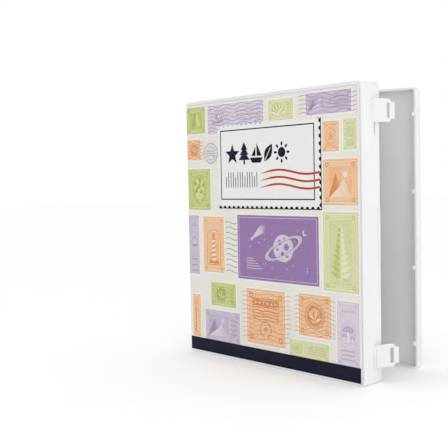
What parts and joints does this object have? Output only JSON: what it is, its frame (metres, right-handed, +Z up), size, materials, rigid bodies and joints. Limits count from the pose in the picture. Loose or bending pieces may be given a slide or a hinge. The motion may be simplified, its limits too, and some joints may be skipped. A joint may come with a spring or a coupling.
{
  "type": "stamp album",
  "caption": "Slim white plastic ring-binder case standing ajar, with printed sheets under clear film, snap latches, ring mechanism and pocketed stock leaves",
  "frame": {"origin": "middle of the spine's bottom edge, on the surface that the album stands on", "axes": "+X from the spine to the fore-edge along the front cover, -Y out of the front cover, +Z up the spine"},
  "size_m": [0.276, 0.1143, 0.3],
  "materials": {
    "case_plastic": "satin white polypropylene with a fine moulded grain",
    "printed_sheet": "matt printed paper",
    "clear_film": "clear glossy polypropylene film",
    "ring_plastic": "satin white moulded plastic",
    "rivet_nylon": "natural nylon",
    "leaf_board": "smooth white card",
    "pocket_film": "clear polyester film"
  },
  "bodies": {
    "spine": {"spine_panel": "case_plastic", "spine_sheet": "printed_sheet", "spine_film": "clear_film"},
    "front_cover": {"front_case": "case_plastic", "front_sheet": "printed_sheet", "front_film": "clear_film"},
    "back_cover": {"back_case": "case_plastic", "back_sheet": "printed_sheet", "back_film": "clear_film", "ring_base": "ring_plastic", "ring_rivet_1": "rivet_nylon", "ring_rivet_2": "rivet_nylon", "ring_rivet_3": "rivet_nylon", "ring_rivet_4": "rivet_nylon"},
    "upper_latch": {"top_latch": "case_plastic"},
    "lower_latch": {"bottom_latch": "case_plastic"},
    "ring_frame": {"ring_bar": "ring_plastic", "ring_arm_1": "ring_plastic", "ring_arm_2": "ring_plastic", "ring_arm_3": "ring_plastic"},
    "page_1": {"leaf_1": "leaf_board", "leaf_1_pockets": "pocket_film"},
    "page_2": {"leaf_2": "leaf_board", "leaf_2_pockets": "pocket_film"},
    "page_3": {"leaf_3": "leaf_board", "leaf_3_pockets": "pocket_film"},
    "page_4": {"leaf_4": "leaf_board", "leaf_4_pockets": "pocket_film"},
    "page_5": {"leaf_5": "leaf_board", "leaf_5_pockets": "pocket_film"}
  },
  "joints": [
    {"name": "front_hinge", "type": "hinge", "parent": "spine", "child": "front_cover", "pos_m": [-0.001, -0.021, 0], "axis": [0, 0, -1], "range_deg": [0, 90]},
    {"name": "back_hinge", "type": "hinge", "parent": "spine", "child": "back_cover", "pos_m": [-0.001, 0.021, 0], "axis": [0, 0, 1], "range_deg": [-15.5, 74.5]},
    {"name": "top_latch_hinge", "type": "hinge", "parent": "front_cover", "child": "upper_latch", "pos_m": [0.2633, -0.004, 0.272], "axis": [0, 0, -1], "range_deg": [-12, 78]},
    {"name": "bottom_latch_hinge", "type": "hinge", "parent": "front_cover", "child": "lower_latch", "pos_m": [0.2633, -0.004, 0.028], "axis": [0, 0, -1], "range_deg": [-20, 70]},
    {"name": "ring_arms_hinge", "type": "hinge", "parent": "back_cover", "child": "ring_frame", "pos_m": [0.00992, 0.01531, 0.15], "axis": [0, 0, -1], "range_deg": [0, 35]},
    {"name": "leaf_1_turn", "type": "hinge", "parent": "back_cover", "child": "page_1", "pos_m": [0.0233, 0.01944, 0.15], "axis": [0, 0, -1], "range_deg": [0, 9]},
    {"name": "leaf_2_turn", "type": "hinge", "parent": "back_cover", "child": "page_2", "pos_m": [0.02421, 0.01616, 0.15], "axis": [0, 0, -1], "range_deg": [0, 17]},
    {"name": "leaf_3_turn", "type": "hinge", "parent": "back_cover", "child": "page_3", "pos_m": [0.02512, 0.01289, 0.15], "axis": [0, 0, -1], "range_deg": [0, 25]},
    {"name": "leaf_4_turn", "type": "hinge", "parent": "back_cover", "child": "page_4", "pos_m": [0.02603, 0.00961, 0.15], "axis": [0, 0, -1], "range_deg": [0, 33]},
    {"name": "leaf_5_turn", "type": "hinge", "parent": "back_cover", "child": "page_5", "pos_m": [0.02694, 0.00633, 0.15], "axis": [0, 0, -1], "range_deg": [0, 42]}
  ],
  "couplings": [
    {"joint": "leaf_1_turn", "follows": "front_hinge", "ratio": 0.09},
    {"joint": "leaf_2_turn", "follows": "front_hinge", "ratio": 0.18},
    {"joint": "leaf_3_turn", "follows": "front_hinge", "ratio": 0.27},
    {"joint": "leaf_4_turn", "follows": "front_hinge", "ratio": 0.36},
    {"joint": "leaf_5_turn", "follows": "front_hinge", "ratio": 0.46}
  ]
}
